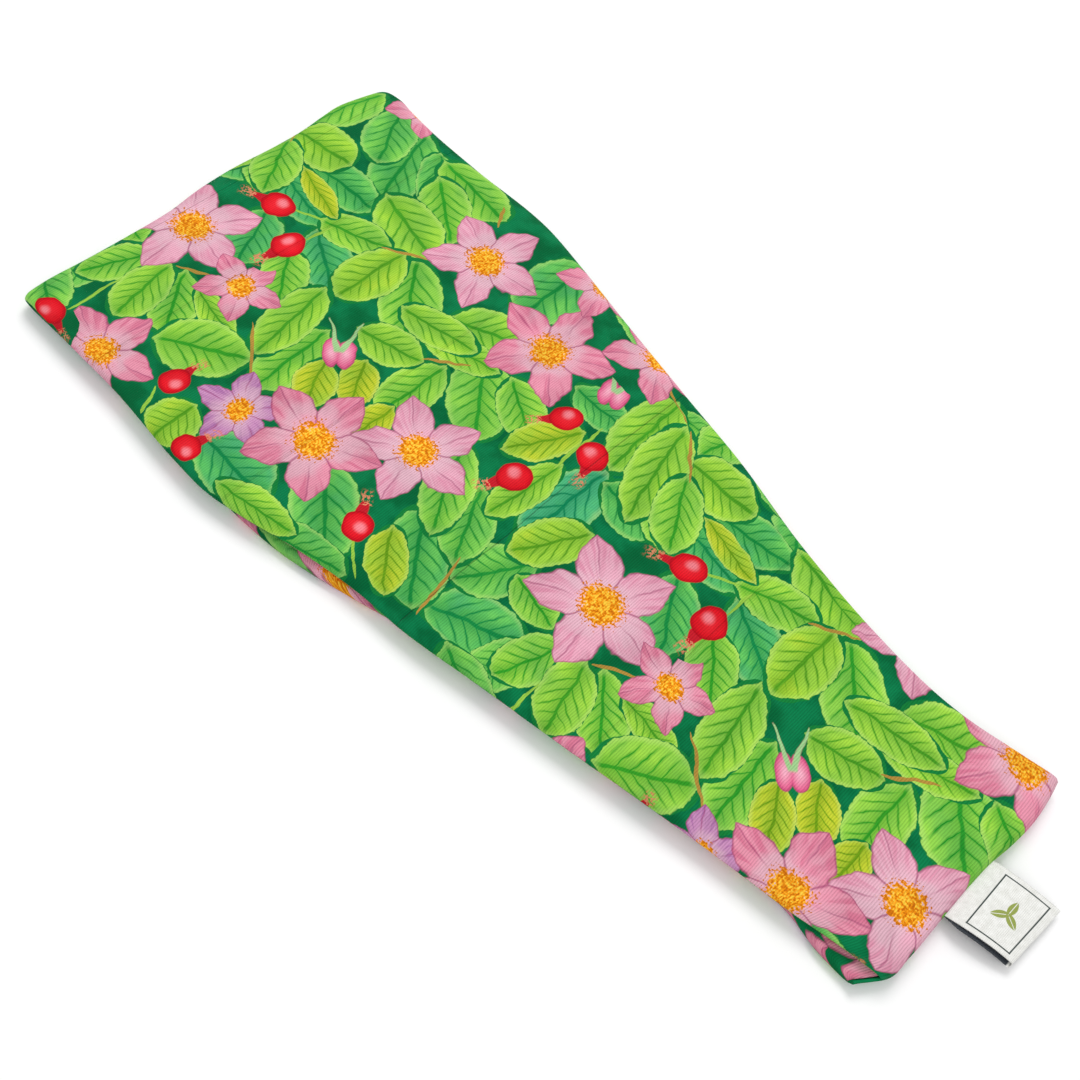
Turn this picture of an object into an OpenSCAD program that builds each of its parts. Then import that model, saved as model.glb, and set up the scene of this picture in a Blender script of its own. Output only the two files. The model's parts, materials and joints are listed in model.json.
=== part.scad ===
// Wide stretch-fabric headband, lying flat.
// The band is a loop of doubled knit fabric that tapers from the forehead to the nape.
// It is folded flat at the front and sewn shut at the back, where a woven label is caught
// in the seam. Each half of the loop is five links, so that the loop can open to a ring.
// The links turn about lines across the band: the inner face of the lining between two links,
// the middle of the roll at the front fold, and the seam line at the back.
// X runs from the front fold to the back seam, Y across the band and Z up.
// The origin lies under the middle link, on the surface that the band rests on.

/* [Band] */
// Flat length from the front fold to the back seam
band_length = 254; // [230:1:280]
// Width across the forehead
front_width = 124; // [100:1:150]
// Width across the nape
back_width = 66; // [50:1:90]
// Length of the parallel part at the front
front_run = 76; // [60:1:95]
// Length of the parallel part at the back
back_run = 34; // [20:1:45]

/* [Fabric] */
// Thickness of one layer of knit
ply = 0.8; // [0.6:0.1:1]
// Air between the outer panel and the lining
loft = 1.2; // [1:0.1:2]
// Air between the two linings
lining_gap = 0.4; // [0.3:0.1:1]
// Thickness of the sewing thread
thread = 0.4; // [0.2:0.05:0.5]

/* [Back seam] */
// Depth of the turned-in seam allowance
allowance = 8; // [6:1:10]
// Distance from one overlock stitch to the next
stitch_pitch = 3; // [2.5:0.5:5]

/* [Label] */
// Width of the label along the seam
label_width = 18; // [12:1:25]
// Length of the label outside the seam
label_reach = 18.5; // [12:0.5:22]
// Thickness of one layer of the folded label
label_ply = 0.3; // [0.2:0.05:0.4]

/* [Hidden] */
$fn = 48;
FRONT = 1;
BACK = 5;
LINKS = [FRONT:BACK];
// Running clearance between pieces that lie against each other
fit = 0.05;
// Heights measured from the middle plane of the flat band
z_in = lining_gap / 2;
z_out = z_in + 2 * ply + loft;
// The links divide the band between the middle of the front roll and the seam line
front_pivot = z_out - ply;
link_length = (band_length - front_pivot) / BACK;
// Turn of each half about the front roll when the band is a ring
front_turn = 72;
// The roll is the folded-over stretch of both layers, and slips inside the tube as it opens
roll_gap = z_in + ply + fit;
roll_ply = (loft - 3 * fit) / 2;
// The end walls stand back from the seam line, so that the two halves can turn about it
setback = 0.5;
seam_end = band_length - setback;
wall_face = seam_end - ply;
raw_end = seam_end - allowance;
// Inside the seam the lining is pressed up against the outer panel
seam_zone = raw_end - thread - 2 * fit;
pressed_top = z_out - ply - fit;
pressed_low = pressed_top - ply;
// The folded label is two layers with a sliver of air between them
label_half = label_ply + fit;
label_tail_length = 6;
label_pivot = band_length + z_out + 0.2;
knuckle = label_half + fit;
// Each allowance lies between the label's tail and the thread that binds it
allowance_low = label_half + fit;
allowance_high = pressed_low - thread / 2 - 2 * fit;
stitch_reach = 4;

// ---- outline ----

taper_end = band_length - back_run;

function half_width(x) =
    x <= front_run ? front_width / 2 :
    x >= taper_end ? back_width / 2 :
    front_width / 2 + (back_width - front_width) / 2 * (x - front_run) / (taper_end - front_run);

// Ends of a stretch of the band, with any corner of the outline that lies between them
function stations(x1, x2) = concat([x1], [for (x = [front_run, taper_end]) if (x > x1 && x < x2) x], [x2]);

function link_start(i) = front_pivot + (i - 1) * link_length + (i == FRONT ? 0 : fit);
function link_end(i) = i == BACK ? seam_end : front_pivot + i * link_length - fit;

// The band's plan between two stations, drawn in from both long edges by an inset
module plan(x1, x2, inset = 0) {
    xs = stations(x1, x2);
    last = len(xs) - 1;
    polygon(concat(
        [for (x = xs) [x, half_width(x) - inset]],
        [for (k = [0:last]) [xs[last - k], inset - half_width(xs[last - k])]]
    ));
}

module slab(x1, x2, z1, z2, inset = 0) {
    translate([0, 0, z1])
        linear_extrude(z2 - z1)
            plan(x1, x2, inset);
}

// ---- one half of the loop, drawn above the middle plane ----

// A tray of fabric, open towards the lining, with a sewn wall at the back end
module outer_panel(i) {
    pocket_end = i == BACK ? wall_face : link_end(i) + 1;
    color("yellowgreen") difference() {
        slab(link_start(i), link_end(i), z_in, z_out);
        slab(link_start(i) - 1, pocket_end, 0, z_out - ply, ply);
        if (i == BACK) label_slot();
    }
}

module label_slot() {
    translate([wall_face - 1, -label_width / 2 - 0.5, 0])
        cube([ply + 2, label_width + 1, label_half + 2 * fit]);
}

// The lining is a flat sheet, lifted clear of the seam at the back end
module lining(i) {
    inset = ply + fit;
    color("olivedrab") {
        slab(link_start(i), i == BACK ? seam_zone : link_end(i), z_in, z_in + ply, inset);
        if (i == BACK) {
            slab(seam_zone - ply, seam_zone, z_in, pressed_top, inset);
            slab(seam_zone - ply, wall_face - fit, pressed_low, pressed_top, inset);
        }
    }
}

// The thread of both long seams, lying in the corner between the outer panel and the lining
module edge_thread(i) {
    x1 = i == FRONT ? front_pivot + z_out : link_start(i);
    x2 = i == BACK ? seam_zone - ply - fit : link_end(i);
    low = z_in + ply + fit;
    color("darkgreen") difference() {
        slab(x1, x2, low, low + thread, ply + fit);
        slab(x1 - 1, x2 + 1, 0, z_out, ply + fit + thread);
    }
}

// ---- front fold ----

// Half the angle that a rolled layer may span and still clear the lining of an opened link
function roll_reach(inner) = 180 - front_turn - asin((roll_gap - fit / 2) / inner);

// A rolled layer is a stretch of a ring around the front pivot
module roll(inner) {
    reach = roll_reach(inner);
    far = 2 * z_out;
    translate([front_pivot, 0, 0])
        rotate([90, 0, 0])
            linear_extrude(front_width - 2 * (ply + fit), center = true)
                intersection() {
                    difference() {
                        circle(inner + roll_ply);
                        circle(inner);
                    }
                    polygon([
                        [0, 0],
                        far * [-cos(reach), sin(reach)],
                        far * [-1, sin(reach)],
                        far * [-1, -sin(reach)],
                        far * [-cos(reach), -sin(reach)]
                    ]);
                }
}

module front_fold_lining() {
    color("olivedrab") roll(roll_gap);
}

module front_fold_outer() {
    color("yellowgreen") roll(roll_gap + roll_ply + fit);
}

// ---- back seam and label ----

// The ends of the outer panel and the lining, pressed together inside the band
module seam_allowance() {
    color("mediumseagreen")
        slab(raw_end, wall_face - 2 * fit, allowance_low, allowance_high, ply + 4 * fit);
}

// Overlock loops that bind the raw ends of both allowances
module overlock_thread() {
    top = allowance_high + fit;
    count = floor((back_width - 4 * ply) / stitch_pitch);
    color("darkgreen") for (k = [0:count])
        translate([raw_end - thread / 2 - fit, (k - count / 2) * stitch_pitch, 0])
            rotate([90, 0, 0])
                linear_extrude(thread, center = true)
                    stitch_outline(top);
}

// A staple shape, open towards the seam line
module stitch_outline(top) {
    difference() {
        translate([-thread / 2, -top - thread / 2])
            square([stitch_reach, 2 * top + thread]);
        translate([thread / 2, -top])
            square([stitch_reach, 2 * top]);
    }
}

// The part of the label that is held in the seam
module label_tail() {
    tail_start = band_length - label_tail_length;
    color("white") translate([tail_start, -label_width / 2, -label_half])
        cube([label_pivot - knuckle - tail_start, label_width, 2 * label_half]);
}

// A strip folded in two, with its rounded root on the hinge line
module label() {
    tip = band_length + label_reach - label_half;
    color("white") rotate([90, 0, 0])
        linear_extrude(label_width, center = true)
            difference() {
                union() {
                    translate([label_pivot, -label_half])
                        square([tip - label_pivot, 2 * label_half]);
                    for (x = [label_pivot, tip])
                        translate([x, 0])
                            circle(label_half);
                }
                translate([label_pivot, -fit])
                    square([tip - label_pivot, 2 * fit]);
            }
}

// ---- placing ----

module place(half) {
    translate([-band_length / 2, 0, z_out])
        mirror([0, 0, half == "lower" ? 1 : 0])
            children();
}

for (half = ["upper", "lower"], i = LINKS) {
    place(half) outer_panel(i);
    place(half) lining(i);
    place(half) edge_thread(i);
}
place("upper") front_fold_outer();
place("upper") front_fold_lining();
place("upper") seam_allowance();  // upper_seam_allowance
place("lower") seam_allowance();  // lower_seam_allowance
place("upper") overlock_thread();
place("upper") label_tail();
place("upper") label();
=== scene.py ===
"""Looks of the wide stretch-fabric headband: two layers of printed knit, their threads and a woven label."""

import json
import math

import bpy
import numpy as np
from mathutils import Matrix, Vector


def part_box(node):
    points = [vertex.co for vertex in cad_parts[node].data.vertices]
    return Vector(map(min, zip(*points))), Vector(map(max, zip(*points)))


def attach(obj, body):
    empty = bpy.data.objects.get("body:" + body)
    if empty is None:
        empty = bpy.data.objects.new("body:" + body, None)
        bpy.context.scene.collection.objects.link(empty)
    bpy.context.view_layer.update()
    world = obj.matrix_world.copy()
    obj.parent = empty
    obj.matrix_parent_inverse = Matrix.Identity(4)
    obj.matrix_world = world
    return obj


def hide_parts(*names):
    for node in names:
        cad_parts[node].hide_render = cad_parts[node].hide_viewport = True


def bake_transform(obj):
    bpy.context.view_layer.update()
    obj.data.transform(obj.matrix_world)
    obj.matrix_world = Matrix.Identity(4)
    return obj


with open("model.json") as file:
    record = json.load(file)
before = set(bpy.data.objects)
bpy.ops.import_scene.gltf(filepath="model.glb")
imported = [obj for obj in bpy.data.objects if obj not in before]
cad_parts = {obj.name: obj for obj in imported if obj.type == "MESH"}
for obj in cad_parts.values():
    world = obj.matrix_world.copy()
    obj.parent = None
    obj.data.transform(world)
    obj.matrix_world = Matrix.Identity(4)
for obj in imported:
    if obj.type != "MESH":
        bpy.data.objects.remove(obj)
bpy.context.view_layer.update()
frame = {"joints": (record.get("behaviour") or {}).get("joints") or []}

# ---- sizes, in metres unless a name or a comment says otherwise ----

MM = 0.001
JOINT = {j["name"]: j for j in frame["joints"]}
FRONT_X, _, MID_Z = JOINT["front_unfold"]["pos_m"]
SEAM_X = JOINT["back_unfold"]["pos_m"][0]
FRONT_EDGE_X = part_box("front_fold_outer")[0].x
HALF_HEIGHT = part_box("upper_outer_panel_3")[1].z - MID_Z
LINKS = 5
HALVES = {"upper": 1, "lower": -1}
LAYERS = ("outer", "lining")

# Half-widths of the band at distances from the front fold, in millimetres: (distance, half-width).
# "back" is the long edge on the +Y side and "near" the one on the -Y side.
EDGES = {
    "upper": {
        "back": [(-6, 64), (0, 66), (8, 65.2), (20, 64.2), (34, 64), (66, 64), (80, 61.2), (102, 56.2),
                 (126, 51), (150, 46), (178, 38.3), (206, 33), (232, 31.8), (244, 34), (256, 36.3)],
        "near": [(-6, 58), (18, 58.4), (36, 58.4), (62, 60), (72, 60), (84, 57.8), (96, 54.6), (116, 51),
                 (130, 50), (150, 46.7), (178, 42.2), (195, 39.2), (218, 35.6), (232, 33.8), (246, 31.2),
                 (256, 29.8)],
    },
    "lower": {
        "back": [(-6, 64), (0, 65.6), (8, 64.6), (34, 63), (66, 62.6), (80, 60), (102, 54.6), (150, 44.6),
                 (178, 37.2), (206, 31.8), (232, 30.6), (244, 32.8), (256, 36)],
        "near": [(-6, 58), (18, 57.4), (36, 57.2), (70, 57.8), (84, 57.6), (94, 56.8), (104, 54.9),
                 (116, 51.8), (128, 48.4), (150, 44), (178, 40), (195, 36.5), (218, 33.4), (232, 33.2),
                 (243, 34.8), (256, 35.2)],
    },
}
# How far the front fold bulges beyond the rolled layers, in millimetres: (Y, bulge)
BULGE = [(-60, 1.8), (-50, 2.4), (-40, 2.0), (-24, 2.3), (-12, 3.2), (-2, 5.0), (8, 5.8), (26, 5.6),
         (36, 6.0), (44, 7.0), (50, 7.6), (58, 6.6), (68, 4.6)]
# Where the back seam runs, beyond the seam line, in millimetres: (Y, drift)
SEAM_DRIFT = [(-38, -5.6), (-34.6, -4.0), (-32, -2.0), (-29, 0.1), (-22, 0.9), (-10, 1.2), (0, 1.4),
              (8, 2.0), (14, 3.0), (24, 3.8), (32, 3.2), (38, 2.2)]
# Gentle waves of the surface, in millimetres: (height, length along, length across, phase).
# A length is what one radian takes. The lower half lies flatter on the table.
WAVES = {
    "upper": [(0.30, 23, 37, 0.6), (0.22, -41, 15, 1.1), (0.09, 7.1, -11, 2.1), (0.06, 4.9, 6.3, 0)],
    "lower": [(0.06, 9.1, 23, 0), (0.06, -31, 7.3, 2)],
}

# Fabric, thread and label
OUTER_PLY = 0.6 * MM
LINING_PLY = 0.5 * MM
ALLOWANCE_PLY = 0.5 * MM
LABEL_PLY = 0.18 * MM
THREAD_RADIUS = 0.14 * MM
PRINT_ATTRIBUTE = "fabric_mm"
LINING_SHIFT = (57, -10)  # of the print on the lining, in millimetres along and across

# Section of the band
SURFACE_DROP = 0.1 * MM  # from the top of the CAD model to the mean height of the fabric
LOWER_RISE = 0.25  # share of the simulated folds that shows in the lower half
INNER_GAP = 0.2 * MM  # from the middle plane to the lining
EDGE_HEIGHT = 0.43  # of the way from the lining to the outer panel: where a long edge is sewn
EDGE_ROUND = 2.6 * MM  # width of the rounded long edge
EDGE_SINK = 0.12  # share of the height that is lost beside a long edge
EDGE_SINK_WIDTH = 7 * MM
PUCKER_HEIGHT = {"upper": 0.16 * MM, "lower": 0.08 * MM}
PUCKER_PHASE = {"upper": 1.3, "lower": 4.2}
PUCKER_WIDTH = 3.6 * MM  # the gathers fade over this distance from the edge
PUCKER_START = 1.2 * MM  # and reach their full height this far inside it

# Front fold
HALF_WIDTH = 62 * MM  # at the front
FOLD_CUT = 1.9 * MM  # the fold's cap starts this far beyond the hinge line
LINING_NOSE = 0.2 * MM  # the lining's fold lies this much beyond that cut
LINING_TURN = 2.2 * MM  # beside a long edge, the lining runs out to the outer panel over this width

# Back seam
DRIFT_START = 0.86  # of the length: from here on, the fabric follows the drift of the seam
FIN_START = 9.5 * MM  # the lining leaves the middle plane this far before the seam
FIN_SLOPE = 3 * MM  # and rises over this length
FIN_HALF = 1.36 * MM  # half the thickness of what lies inside the seam
FIN_SIDES = (-27 * MM, 31 * MM)  # Y of the two ends of what lies inside the seam
FIN_FADE = 2 * MM  # beside those ends, the lining sinks back over this width
SEAM_ROLL = 3.4 * MM  # the outer panel rounds down to the seam over this length
SEAM_NIP = 1.6 * MM  # and the lining rises from it over this length
SEWN_HEIGHT = 0.1 * MM  # height of the outer panel at the seam
LABEL_HEIGHT = 0.32 * MM  # what the label adds to it
LABEL_MIDDLE = 1 * MM  # Y of the label's middle in the seam
LABEL_SPREAD = 10.5 * MM  # half the width that it lifts
THINNEST = 0.05 * MM  # from the lining to the outer panel
HEM_WRAP = 2.2 * MM  # how far the upper fabric reaches around the nape end
SLIVER = 0.02 * MM  # the seam's own width, where the print changes
LINING_SETBACK = 1.3 * MM  # the lining ends this far before the seam, to stay inside the outer panel

# Mesh
ROW = 0.9 * MM  # spacing of the points of a panel
FLAT_SHARE = 0.93  # of the half-width: the rest is the rounded edge, with closer points
FLAT_SPAN = 112 * MM
RIM_POINTS = 8
FOLD_ROWS = 7  # in the part of the fold that goes with a front piece
CAP_ROWS = 25

settled = None  # set once the cloth simulation has run


# ---- shape of the band ----

def curve(table, at):
    """A smooth line through the table's points, read at an array of places."""
    xs = np.array([row[0] for row in table], float)
    ys = np.array([row[1] for row in table], float)
    slopes = np.gradient(ys, xs)
    at = np.clip(at, xs[0], xs[-1])
    k = np.clip(np.searchsorted(xs, at, side="right") - 1, 0, len(xs) - 2)
    span = xs[k + 1] - xs[k]
    t = (at - xs[k]) / span
    return ((1 + 2 * t) * (1 - t) ** 2 * ys[k] + t * (1 - t) ** 2 * span * slopes[k]
            + t * t * (3 - 2 * t) * ys[k + 1] + t * t * (t - 1) * span * slopes[k + 1])


def smooth(x, low, high):
    t = np.clip((x - low) / (high - low), 0, 1)
    return t * t * (3 - 2 * t)


def quarter_round(share):
    """A quarter of a circle, from 0 up to 1."""
    return np.sqrt(1 - (1 - np.clip(share, 0, 1)) ** 2)


def across(half, x, v):
    """Y of the band at x, for v from -1 on the near edge to 1 on the back edge."""
    along = (x - FRONT_EDGE_X) / MM
    back = curve(EDGES[half]["back"], along) * MM
    near = curve(EDGES[half]["near"], along) * MM
    return (back - near) / 2 + (back + near) / 2 * v


def swell(half, x, y):
    """Gentle rise and fall of the surface."""
    return MM * sum(height * np.sin(x / MM / along + y / MM / sideways + phase)
                    for height, along, sideways, phase in WAVES[half])


def pucker(half, x, depth):
    """Small gathers beside the long seams, which fade within a centimetre of the edge."""
    a, phase = x / MM, PUCKER_PHASE[half]
    uneven_pace = 1.8 * np.sin(a / 7.7 + phase)
    uneven_height = 0.6 + 0.4 * np.sin(a / 13 + phase)
    gathers = np.sin(a / 1.35 + uneven_pace) * uneven_height
    return PUCKER_HEIGHT[half] * gathers * np.exp(-depth / PUCKER_WIDTH) * smooth(depth, 0, PUCKER_START)


def spline_weights(t):
    """The four weights of a uniform cubic spline at a fraction t of a cell."""
    rising = (3 * (t + t * t - t ** 3) + 1) / 6
    return [(1 - t) ** 3 / 6, (3 * t ** 3 - 6 * t * t + 4) / 6, rising, t ** 3 / 6]


def settled_rise(half, x, v):
    """How far the simulated fabric rose. The lower half has the same folds, pressed flatter."""
    if settled is None:
        return 0 * x * v
    xs, vs, rise = settled
    share = 1.0 if half == "upper" else LOWER_RISE
    row = np.clip((x - xs[0]) / (xs[1] - xs[0]), 0, len(xs) - 1.001)
    column = np.clip((HALVES[half] * v - vs[0]) / (vs[1] - vs[0]), 0, len(vs) - 1.001)
    i, j = np.floor(row).astype(int), np.floor(column).astype(int)
    total = 0 * row * column
    for a, weight_a in enumerate(spline_weights(row - i)):
        for b, weight_b in enumerate(spline_weights(column - j)):
            near = rise[np.clip(i + a - 1, 0, len(xs) - 1), np.clip(j + b - 1, 0, len(vs) - 1)]
            total = total + weight_a * weight_b * near
    return share * total


def lining_height(y, beyond):
    """The lining lies near the middle plane, and is lifted by what lies inside the seam."""
    start, end = FIN_SIDES
    filled = smooth(y, start - FIN_FADE, start) * smooth(y, end + FIN_FADE, end)
    return INNER_GAP + (FIN_HALF - INNER_GAP) * smooth(beyond, FIN_START, FIN_START - FIN_SLOPE) * filled


def nip(y, beyond, top, low):
    """Draws both layers together towards the seam, where the label holds them a little apart."""
    sewn = SEWN_HEIGHT + LABEL_HEIGHT * np.exp(-((y - LABEL_MIDDLE) / LABEL_SPREAD) ** 6)
    top = sewn + (top - sewn) * quarter_round(beyond / SEAM_ROLL)
    inner = sewn * 0.6
    low = np.minimum(low, inner + (FIN_HALF - inner) * smooth(beyond, 0, SEAM_NIP))
    return top, np.minimum(low, top - THINNEST)


def heights(half, x, v):
    """Distances of the outer panel and the lining from the middle plane."""
    y = across(half, x, v)
    depth = (1 - np.abs(v)) * (across(half, x, 1.0) - across(half, x, -1.0)) / 2
    top = HALF_HEIGHT - SURFACE_DROP + swell(half, x, y) + settled_rise(half, x, v)
    ceiling = HALF_HEIGHT if half == "lower" else np.inf
    beyond = SEAM_X - x
    top, low = nip(y, beyond, np.minimum(top, ceiling), lining_height(y, beyond))
    edge = low + (top - low) * EDGE_HEIGHT
    rounding = quarter_round(depth / EDGE_ROUND)
    plump = 1 - EDGE_SINK * np.exp(-depth / EDGE_SINK_WIDTH)
    outer = edge + (top * plump + pucker(half, x, depth) - edge) * rounding
    return np.minimum(outer, ceiling), edge - (edge - low) * rounding


def layer_height(half, layer, x, v):
    return heights(half, x, v)[LAYERS.index(layer)]


def seam_line(y):
    return SEAM_X + curve(SEAM_DRIFT, y / MM) * MM


def rest_points(half, layer, x, v):
    """Points of one layer of one half of the loop, lying flat, beyond the front hinge line."""
    share = (x - FRONT_X) / (SEAM_X - FRONT_X)
    y = across(half, x, v)
    moved = x + (seam_line(y) - SEAM_X) * smooth(share, DRIFT_START, 1.0)
    return np.stack([moved, y, MID_Z + HALVES[half] * layer_height(half, layer, x, v)], -1)


def fold_reach(layer, v):
    """How far a layer reaches beyond the front hinge line at the fold."""
    x = FRONT_X + 0 * v
    height = sum(layer_height(half, layer, x, v) for half in HALVES) / len(HALVES)
    y = sum(across(half, x, v) for half in HALVES) / len(HALVES)
    reach = height + curve(BULGE, y / MM) * MM
    if layer == "outer":
        return reach
    inner = FOLD_CUT + LINING_NOSE
    depth = (1 - np.abs(v)) * HALF_WIDTH
    return inner + (reach - inner) * np.exp(-(depth / LINING_TURN) ** 2)


def fold_points(layer, turn, v):
    """Points of a layer around the front fold, for turns from 0 on the upper side to 2 on the lower."""
    x = FRONT_X + 0 * v
    share = smooth(turn / 2, 0, 1)
    upper, lower = [layer_height(half, layer, x, v) for half in HALVES]
    height = upper + (lower - upper) * share
    y = across("upper", x, v) * (1 - share) + across("lower", x, v) * share
    angle = turn * math.pi / 2
    reach = fold_reach(layer, v)
    return np.stack([FRONT_X - reach * np.sin(angle), y, MID_Z + height * np.cos(angle)], -1)


def cut_turn(layer, v):
    """Where on the fold the cap starts, as a turn."""
    return np.arcsin(np.clip(FOLD_CUT / fold_reach(layer, v), 0, 1)) / (math.pi / 2)


def columns():
    """Places across the band, closer together on the rounded edges."""
    flat = np.linspace(-FLAT_SHARE, FLAT_SHARE, int(round(FLAT_SPAN / ROW)) + 1)
    rim = FLAT_SHARE + (1 - FLAT_SHARE) * np.sin(np.linspace(0, math.pi / 2, RIM_POINTS + 1)[1:])
    return np.concatenate([-rim[::-1], flat, rim])


def rows(start, end):
    return np.linspace(start, end, max(2, int(round(abs(end - start) / ROW)) + 1))


def station(i):
    """X of the hinge line between link i and link i + 1."""
    return FRONT_X + (SEAM_X - FRONT_X) * i / LINKS


def link_middle(i):
    return (station(i - 1) + station(i)) / 2


# ---- meshes ----

def mesh_object(name, points, faces):
    """A smooth-shaded mesh as an object of the scene."""
    mesh = bpy.data.meshes.new(name)
    mesh.from_pydata(points, [], faces)
    mesh.shade_smooth()
    obj = bpy.data.objects.new(name, mesh)
    bpy.context.scene.collection.objects.link(obj)
    return obj


def grid_object(name, points, flip=False, attribute=None):
    """A sheet of quads through a grid of points. flip turns its face over."""
    count, width = points.shape[:2]
    index = np.arange(count * width).reshape(count, width)
    quads = np.stack([index[:-1, :-1], index[1:, :-1], index[1:, 1:], index[:-1, 1:]], -1).reshape(-1, 4)
    if flip:
        quads = quads[:, ::-1]
    obj = mesh_object(name, points.reshape(-1, 3).tolist(), quads.tolist())
    if attribute is not None:
        layer = obj.data.attributes.new(PRINT_ATTRIBUTE, "FLOAT_VECTOR", "POINT")
        layer.data.foreach_set("vector", attribute.astype(np.float32).ravel())
    return obj


def thicken(obj, thickness):
    """Gives a sheet its thickness, away from its face."""
    solid = obj.modifiers.new("thickness", "SOLIDIFY")
    solid.thickness = thickness
    solid.offset = -1


def finish(piece, material, slot, *replaced):
    piece.data.materials.append(material)
    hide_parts(*replaced)


def blend(piece):
    """Bakes a piece's transform into its mesh; the piece is not bent."""
    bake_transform(piece)


def blend_at(piece):
    """Bakes a piece's transform into its mesh, as blend does; the piece is not bent."""
    blend(piece)


# ---- cloth pieces ----

def print_place(layer, points, along, v):
    """Fabric coordinates in millimetres: along the strip from the front fold, across it, and 0.

    The lining is cut from the same fabric and faces the other way, so it is read in mirror image.
    """
    if layer == "lining":
        return np.stack([along + LINING_SHIFT[0], points[..., 1] / MM + LINING_SHIFT[1], 0 * along], -1)
    drop = np.abs(points[..., 2] - MID_Z)
    drop = (np.max(drop, axis=1, keepdims=True) - drop) / MM
    on_rim = np.abs(v) > 0.9
    sideways = -points[..., 1] / MM - np.sign(v) * drop * on_rim
    return np.stack([along, sideways, 0 * along], -1)


def fold_length(v):
    """Length of fabric in a quarter of the fold, in millimetres."""
    height = layer_height("upper", "outer", FRONT_X + 0 * v, v)
    return math.pi / 2 * np.sqrt((fold_reach("outer", v) ** 2 + height ** 2) / 2) / MM


def along_strip(half, x, v):
    """Distance along the printed strip in millimetres. The lower half lies before the fold."""
    start = (FRONT_X - FRONT_EDGE_X) / MM
    if half == "upper":
        return start + (x - FRONT_X) / MM
    return start - 2 * fold_length(v) - (x - FRONT_X) / MM


def cloth(name, layer, points, along, v, flip):
    obj = grid_object(name, points, flip, print_place(layer, points, along, v))
    thicken(obj, OUTER_PLY if layer == "outer" else LINING_PLY)
    return obj


def stretch(half, layer, start, end):
    """A stretch of one layer from x start to x end, as points, places along the strip and v.

    At the nape, the upper fabric reaches a little around the end, down to the seam on the underside.
    """
    xs = rows(start, end)
    seam = SEAM_X - HEM_WRAP
    wraps = half == "lower" and layer == "outer" and end == SEAM_X
    if wraps:
        xs = np.concatenate([xs[xs < seam - SLIVER], [seam - SLIVER, seam], xs[xs > seam + SLIVER]])
    x, v = np.meshgrid(xs, columns(), indexing="ij")
    along = along_strip(half, x, v)
    if wraps:
        along = np.where(x >= seam, along_strip("upper", 2 * SEAM_X - x, v), along)
    return rest_points(half, layer, x, v), along, v


def fold_stretch(layer, first, last, count):
    """A stretch of the front fold between two turns that may vary across the band."""
    t = np.linspace(0, 1, count)[:, None]
    turn = first[None, :] * (1 - t) + last[None, :] * t
    v = np.broadcast_to(columns(), turn.shape)
    start = (FRONT_X - FRONT_EDGE_X) / MM
    return fold_points(layer, turn, v), start - fold_length(v) * turn, v


def front_piece(half, layer):
    """From the cap of the fold to the middle of the first link."""
    cut = cut_turn(layer, columns())
    flat = 0 * cut if half == "upper" else 0 * cut + 2
    turned = cut if half == "upper" else 2 - cut
    fold = fold_stretch(layer, turned, flat, FOLD_ROWS)
    rest = stretch(half, layer, FRONT_X, link_middle(1))
    return [np.concatenate([a[:-1], b]) for a, b in zip(fold, rest)]


def blend_front(piece, half):
    """Bakes a front piece's transform into its mesh. It works out the span from its link to the edge of the
    fold's cap, but does not turn the piece.
    """
    start, end = FRONT_X, FRONT_X - 2 * FOLD_CUT
    if half == "upper":
        start, end = end, start
    blend(piece)


def build_cloth(half, layer, material):
    """One layer of one half: a front piece, then a piece over each bend."""
    kind = "outer_panel" if layer == "outer" else "lining"
    flip = (half == "lower") == (layer == "outer")
    nape_end = SEAM_X if layer == "outer" else SEAM_X - LINING_SETBACK
    ends = [link_middle(i) for i in range(1, LINKS)] + [nape_end]
    pieces = [cloth(f"{half}_{kind}_front", layer, *front_piece(half, layer), flip)]
    blend_front(pieces[0], half)
    for i in range(1, LINKS):
        piece = cloth(f"{half}_{kind}_bend_{i}", layer, *stretch(half, layer, ends[i - 1], ends[i]), flip)
        blend_at(piece)
        pieces.append(piece)
    for number, piece in enumerate(pieces, 1):
        finish(piece, material, f"{layer}_fabric", f"{half}_{kind}_{number}")


def build_cap(layer, material):
    cut = cut_turn(layer, columns())
    fold = fold_stretch(layer, cut, 2 - cut, CAP_ROWS)
    piece = cloth(f"front_fold_{layer}_cap", layer, *fold, flip=layer == "outer")
    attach(piece, "front_fold")
    finish(piece, material, f"{layer}_fabric", f"front_fold_{layer}")


# ---- threads ----

TUBE_SIDES = 8
TUBE_UP = (0.31, 0.17, 0.93)  # a direction that no thread runs along
STITCH_PITCH = 2.4 * MM  # of the overlock along a long edge
STITCH_POINTS = 6  # in one stitch
STITCH_DEPTH = 1.9 * MM  # mean distance of the thread from the edge
STITCH_SWING = 0.8 * MM
STITCH_RISE = 0.25 * MM
STITCH_LEVEL = 0.45  # of the way from the lining to the outer panel


def tube(path):
    """Points and faces of a closed round thread along a path."""
    path = np.array(path, float)
    ahead = np.gradient(path, axis=0)
    ahead /= np.linalg.norm(ahead, axis=1, keepdims=True)
    side = np.cross(ahead, TUBE_UP)
    side /= np.linalg.norm(side, axis=1, keepdims=True)
    other = np.cross(side, ahead)
    turn = np.linspace(0, 2 * math.pi, TUBE_SIDES, endpoint=False)[:, None]
    ring = side[:, None] * np.cos(turn) + other[:, None] * np.sin(turn)
    points = path[:, None] + ring * THREAD_RADIUS
    index = np.arange(len(path) * TUBE_SIDES).reshape(-1, TUBE_SIDES)
    beside = np.roll(index, -1, axis=1)
    faces = np.stack([index[:-1], beside[:-1], beside[1:], index[1:]], -1).reshape(-1, 4).tolist()
    faces += [index[0, ::-1].tolist(), index[-1].tolist()]
    return points.reshape(-1, 3).tolist(), faces


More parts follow.
